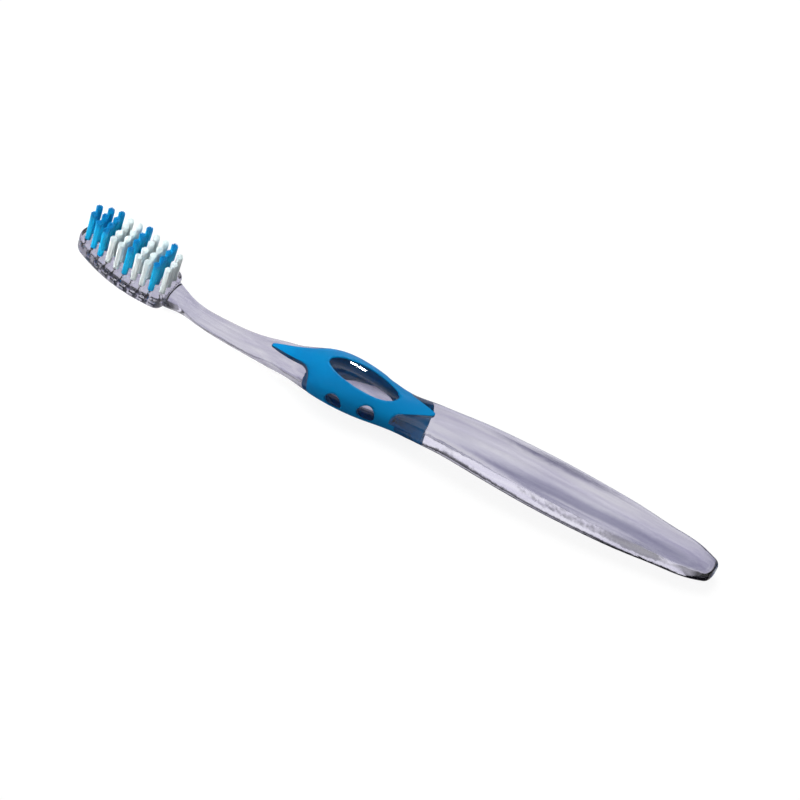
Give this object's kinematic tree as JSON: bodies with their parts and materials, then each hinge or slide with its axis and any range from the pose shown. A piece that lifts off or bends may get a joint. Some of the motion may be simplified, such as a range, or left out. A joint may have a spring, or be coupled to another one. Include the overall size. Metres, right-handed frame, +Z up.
{
  "type": "manual toothbrush",
  "caption": "Manual toothbrush with a slim tapered head of blue and white tufts, a clear bent handle and a blue rubber grip with open windows.",
  "frame": {"origin": "middle of the bounding box at the height of the surface that the brush lies on", "axes": "+X from the toe of the head to the tail of the handle, +Z up out of the bristles, Y across the width"},
  "size_m": [0.1891, 0.0158, 0.0244],
  "materials": {
    "clear_plastic": "clear, polished, faint lavender tint",
    "grip_rubber": "satin, soft-touch blue",
    "blue_filament": "fine round nylon filaments, end-rounded",
    "white_filament": "fine round nylon filaments, end-rounded",
    "anchor_metal": "plain stamped strip"
  },
  "bodies": {
    "root": {"handle": "clear_plastic", "grip_sleeve": "grip_rubber", "blue_tuft_row1_1": "blue_filament", "blue_tuft_row1_2": "blue_filament", "blue_tuft_row2_1": "blue_filament", "blue_tuft_row2_2": "blue_filament", "blue_tuft_row2_3": "blue_filament", "blue_tuft_row3_1": "blue_filament", "blue_tuft_row3_2": "blue_filament", "blue_tuft_row3_3": "blue_filament", "blue_tuft_row3_4": "blue_filament", "white_tuft_row4_1": "white_filament", "white_tuft_row4_2": "white_filament", "white_tuft_row4_3": "white_filament", "white_tuft_row4_4": "white_filament", "white_tuft_row5_1": "white_filament", "white_tuft_row5_2": "white_filament", "white_tuft_row5_3": "white_filament", "white_tuft_row5_4": "white_filament", "blue_tuft_row6_1": "blue_filament", "blue_tuft_row6_2": "blue_filament", "blue_tuft_row6_3": "blue_filament", "blue_tuft_row6_4": "blue_filament", "white_tuft_row7_1": "white_filament", "white_tuft_row7_2": "white_filament", "white_tuft_row7_3": "white_filament", "white_tuft_row7_4": "white_filament", "white_tuft_row8_1": "white_filament", "white_tuft_row8_2": "white_filament", "white_tuft_row8_3": "white_filament", "white_tuft_row8_4": "white_filament", "blue_tuft_row9_1": "blue_filament", "blue_tuft_row9_2": "blue_filament", "blue_tuft_row9_3": "blue_filament", "blue_tuft_row9_4": "blue_filament", "white_tuft_row10_1": "white_filament", "white_tuft_row10_2": "white_filament", "white_tuft_row10_3": "white_filament", "anchors_row1": "anchor_metal", "anchors_row2": "anchor_metal", "anchors_row3": "anchor_metal", "anchors_row4": "anchor_metal", "anchors_row5": "anchor_metal", "anchors_row6": "anchor_metal", "anchors_row7": "anchor_metal", "anchors_row8": "anchor_metal", "anchors_row9": "anchor_metal", "anchors_row10": "anchor_metal"}
  },
  "joints": []
}
